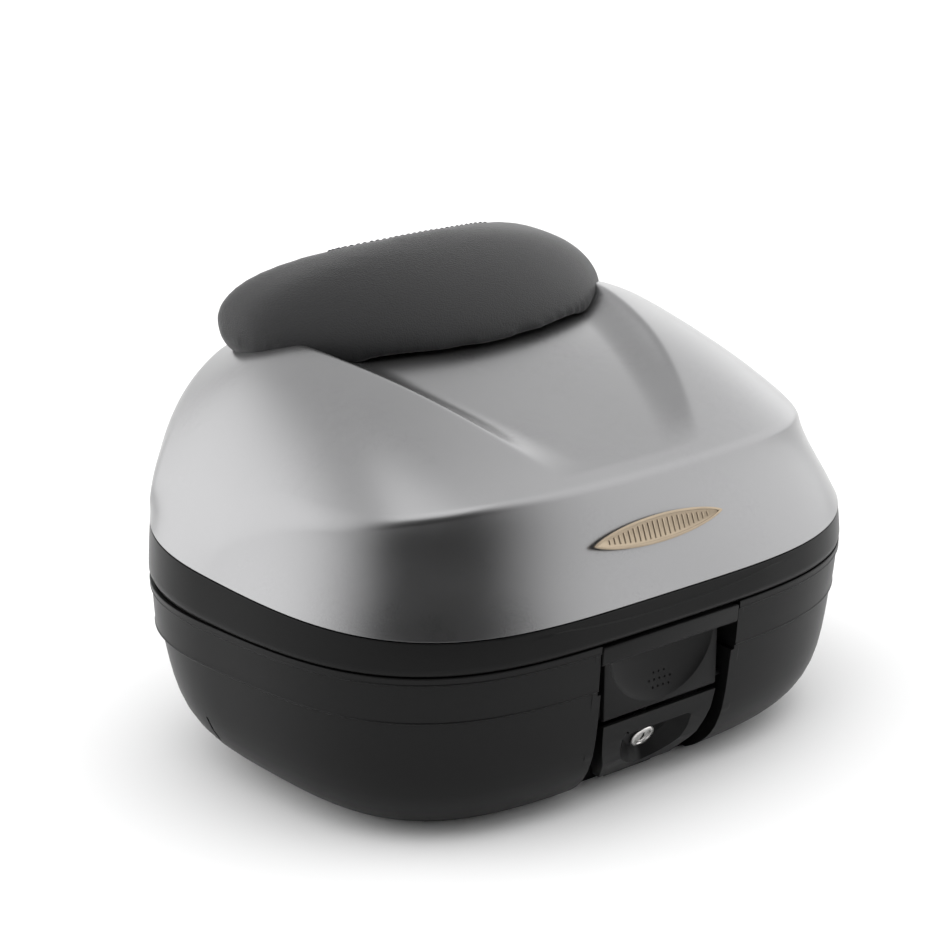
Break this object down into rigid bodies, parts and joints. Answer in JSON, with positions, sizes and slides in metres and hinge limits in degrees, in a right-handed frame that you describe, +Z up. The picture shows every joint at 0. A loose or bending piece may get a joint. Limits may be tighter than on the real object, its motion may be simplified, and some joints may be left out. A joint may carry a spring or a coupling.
{
  "type": "motorcycle top case",
  "caption": "Hinged hard luggage case for a motorcycle, with a painted lid cover, a padded backrest, a latch handle with a key lock, and docking parts under the floor.",
  "frame": {"origin": "centre of the flat underside, on the surface that the case stands on", "axes": "+Z up, -Y towards the latch and lock, +Y towards the hinges and the backrest, X from side to side"},
  "size_m": [0.5798, 0.4317, 0.3825],
  "materials": {
    "shell_black": "satin black moulded plastic with a fine grain",
    "cover_silver": "satin metallic silver paint over moulded plastic",
    "dark_plastic": "matt black moulded plastic",
    "steel": "zinc-plated steel",
    "nickel": "satin nickel plate",
    "bronze": "champagne-coloured anodised metal",
    "vinyl": "dark grey fine-grained vinyl over foam",
    "rubber": "matt black rubber"
  },
  "bodies": {
    "base": {"base_shell": "shell_black", "floor_mat": "rubber", "lock_panel": "shell_black", "lock_panel_screw_left": "steel", "lock_panel_screw_right": "steel", "lock_barrel": "nickel", "lock_nut": "steel", "handle_pivot_pin": "steel", "handle_spring": "steel", "dock_keeper_left": "steel", "dock_keeper_right": "steel", "hinge_base_leaf_left": "steel", "hinge_base_leaf_right": "steel", "hinge_base_screw_left_1": "steel", "hinge_base_screw_left_2": "steel", "hinge_base_screw_right_1": "steel", "hinge_base_screw_right_2": "steel", "hinge_pin_left": "steel", "hinge_pin_right": "steel"},
    "lid": {"lid_cover": "cover_silver", "lid_frame": "shell_black", "cover_screw_1": "steel", "cover_screw_2": "steel", "cover_screw_3": "steel", "cover_screw_4": "steel", "backrest_screw_1": "steel", "backrest_screw_2": "steel", "rim_seal": "rubber", "latch_striker": "steel", "striker_screw_left": "steel", "striker_screw_right": "steel", "badge_plate": "bronze", "hinge_lid_leaf_left": "steel", "hinge_lid_leaf_right": "steel", "hinge_lid_screw_left_1": "steel", "hinge_lid_screw_left_2": "steel", "hinge_lid_screw_right_1": "steel", "hinge_lid_screw_right_2": "steel", "backrest_pad": "vinyl", "backrest_carrier": "dark_plastic"},
    "handle": {"latch_handle": "shell_black"},
    "lock": {"lock_plug": "nickel", "lock_cam": "steel"},
    "catch": {"dock_catch": "dark_plastic"}
  },
  "joints": [
    {"name": "lid_hinge", "type": "hinge", "parent": "base", "child": "lid", "pos_m": [0, 0.217, 0.148], "axis": [-1, 0, 0], "range_deg": [0, 90]},
    {"name": "latch_handle_pivot", "type": "hinge", "parent": "base", "child": "handle", "pos_m": [0, -0.19, 0.0815], "axis": [1, 0, 0], "range_deg": [0, 50], "stiffness_Nm_per_rad": 0.15, "springref_deg": -20.05},
    {"name": "lock_turn", "type": "hinge", "parent": "base", "child": "lock", "pos_m": [0, -0.178, 0.0385], "axis": [0, 0.891, 0.454], "range_deg": [0, 90]},
    {"name": "dock_catch_slide", "type": "slide", "parent": "base", "child": "catch", "axis": [0, -1, 0], "range_m": [0, 0.008], "stiffness_N_per_m": 400, "springref_m": -0.004}
  ]
}
